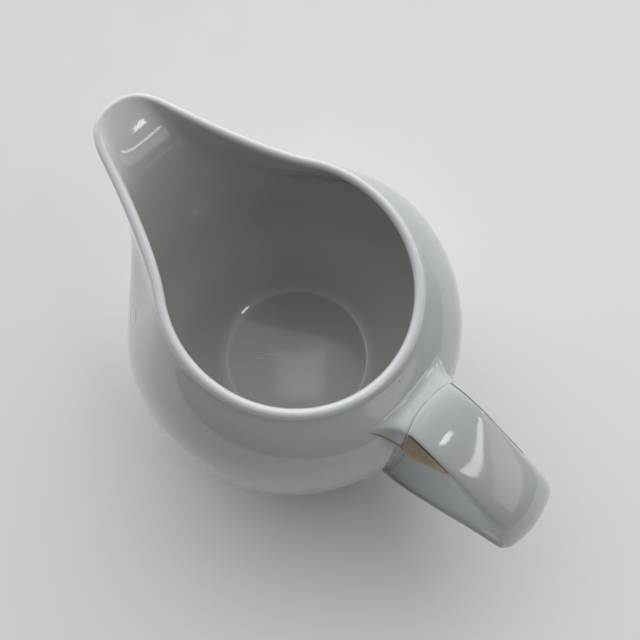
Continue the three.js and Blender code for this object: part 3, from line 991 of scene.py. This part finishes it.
class JUG_OT_stage(bpy.types.Operator):
    """Set up the pale table, the soft lights and the camera"""

    bl_idname = "jug.stage"
    bl_label = "Table, lights and camera"

    # the room's light: sides it comes from and fades towards, and the limits of each fade
    WINDOW_SIDE = (-0.706, 0.659, 0.259)
    WINDOW_FADE = (0.02, 0.85)
    CEILING_FADE = (0.45, 0.8)
    FRONT_SIDE = (0.58, -0.64, 0.5)
    FRONT_FADE = (0.3, 0.85)
    OVERHEAD_FADE = (0.82, 0.97)
    OVERHEAD_LEFT = 0.35
    ROOM_TINT = (0.97, 0.99, 1.0, 1.0)
    # panels: name, bearing, height, width and depth in metres, brightness
    PANEL_TARGET = Vector((0, 0, 0.05))
    PANEL_AWAY = 1.25
    PANELS = (
        ("overhead panel", math.radians(135), math.radians(75), (0.115, 0.10), 1.1),
        ("square panel", math.radians(18), math.radians(56), (0.13, 0.10), 7.5),
        ("long panel", math.radians(18), math.radians(38), (0.70, 0.08), 4.5),
        ("broad panel", math.radians(22), math.radians(24), (1.1, 0.36), 0.9),
    )
    # camera: place from the jug's axis on the table, and the ways that it looks and holds upright
    CAMERA_PLACE = Vector((37.66, -37.76, 193.21)) * MM
    CAMERA_FORWARD = Vector((-0.2018, 0.2576, -0.9449))
    CAMERA_UP = Vector((-0.6272, 0.7071, 0.3267))

    def table(self, context):
        bpy.ops.object.select_all(action="DESELECT")
        bpy.ops.mesh.primitive_plane_add(size=context.scene.jug_stage.table_size, location=(0, 0, 0))
        table = context.object
        table.name = "table_top"
        bpy.ops.object.mode_set(mode="EDIT")
        bpy.ops.mesh.subdivide(number_cuts=3)
        bpy.ops.object.mode_set(mode="OBJECT")
        table.data.materials.append(table_material(context.scene.jug_colours))

    def light(self, name, place, size, power):
        data = bpy.data.lights.new(name, "AREA")
        data.shape = "RECTANGLE"
        data.size, data.size_y = size
        data.energy = power
        lamp = bpy.data.objects.new(name, data)
        bpy.context.scene.collection.objects.link(lamp)
        lamp.location = place
        lamp.rotation_euler = (self.PANEL_TARGET - place).to_track_quat("-Z", "Y").to_euler()

    def panels(self, settings):
        """Bright panels that the glaze mirrors: one overhead, and three beyond the handle."""
        for name, bearing, height, size, brightness in self.PANELS:
            level = math.cos(height)
            toward = Vector((math.cos(bearing) * level, math.sin(bearing) * level, math.sin(height)))
            power = brightness * settings.panel_light * math.pi * size[0] * size[1]
            self.light(name, self.PANEL_TARGET + toward * self.PANEL_AWAY, size, power)

    def room(self, context):
        """Even light from one side of the room and from the ceiling, fading overhead and towards the
        front."""
        scene = context.scene
        lights = scene.jug_stage
        scene.world = scene.world or bpy.data.worlds.new("room")
        nodes = Nodes(scene.world, "ShaderNodeOutputWorld", "Generated")
        upward = nodes.add("ShaderNodeSeparateXYZ")
        nodes.link(nodes.coordinates, upward.inputs[0])
        upward = upward.outputs["Z"]
        window = nodes.ramp(nodes.facing(self.WINDOW_SIDE), *self.WINDOW_FADE, 0.0, lights.window_light)
        ceiling = nodes.ramp(upward, *self.CEILING_FADE, 0.0, lights.ceiling_light)
        front = nodes.ramp(nodes.facing(self.FRONT_SIDE), *self.FRONT_FADE, 1.0, 0.0)
        overhead = nodes.ramp(upward, *self.OVERHEAD_FADE, 1.0, self.OVERHEAD_LEFT)
        both = nodes.math("ADD", window, nodes.math("MULTIPLY", ceiling, front))
        level = nodes.math("MULTIPLY_ADD", both, overhead, lights.room_light)
        background = nodes.add("ShaderNodeBackground")
        background.inputs["Color"].default_value = self.ROOM_TINT
        nodes.link(level, background.inputs["Strength"])
        nodes.link(background.outputs[0], nodes.output.inputs["Surface"])

    def camera(self, context):
        data = bpy.data.cameras.new("camera")
        data.sensor_width = 36.0
        data.lens = context.scene.jug_stage.lens
        data.clip_start = 0.01
        camera = bpy.data.objects.new("camera", data)
        context.scene.collection.objects.link(camera)
        forward = self.CAMERA_FORWARD.normalized()
        right = forward.cross(self.CAMERA_UP).normalized()
        camera.location = self.CAMERA_PLACE + TO_FRAME
        camera.rotation_euler = Matrix((right, right.cross(forward), -forward)).transposed().to_euler()
        context.scene.camera = camera

    def execute(self, context):
        settings = context.scene.jug_stage
        self.table(context)
        self.panels(settings)
        self.room(context)
        context.scene.view_settings.view_transform = "Standard"
        self.camera(context)
        return {"FINISHED"}


class JUG_PT_panel(bpy.types.Panel):
    """Lists the jug's pieces and their settings"""

    bl_idname = "JUG_PT_panel"
    bl_label = "Cream Jug"
    bl_space_type = "VIEW_3D"
    bl_region_type = "UI"
    bl_category = "Cream Jug"

    def draw(self, context):
        for operator in PIECES:
            self.layout.operator(operator.bl_idname)
        for settings in SETTINGS:
            group = getattr(context.scene, settings)
            box = self.layout.box()
            for name in group.bl_rna.properties.keys():
                if name not in ("rna_type", "name"):
                    box.prop(group, name)


SETTINGS = {
    "jug_vessel": VesselSizes,
    "jug_handle": HandleSizes,
    "jug_colours": FinishColours,
    "jug_stage": StageSettings,
}
PIECES = (JUG_OT_vessel, JUG_OT_foot_ring, JUG_OT_roots, JUG_OT_strap, JUG_OT_gilding, JUG_OT_stage)


def register():
    for cls in (*SETTINGS.values(), *PIECES, JUG_PT_panel):
        bpy.utils.register_class(cls)
    for name, group in SETTINGS.items():
        setattr(bpy.types.Scene, name, PointerProperty(type=group))


def unregister():
    for name in SETTINGS:
        delattr(bpy.types.Scene, name)
    for cls in reversed((*SETTINGS.values(), *PIECES, JUG_PT_panel)):
        bpy.utils.unregister_class(cls)


def main():
    register()
    bpy.ops.jug.vessel()
    bpy.ops.jug.foot_ring()
    bpy.ops.jug.roots()
    bpy.ops.jug.strap()
    bpy.ops.jug.gilding()
    bpy.ops.jug.stage()


if __name__ == "__main__":
    main()
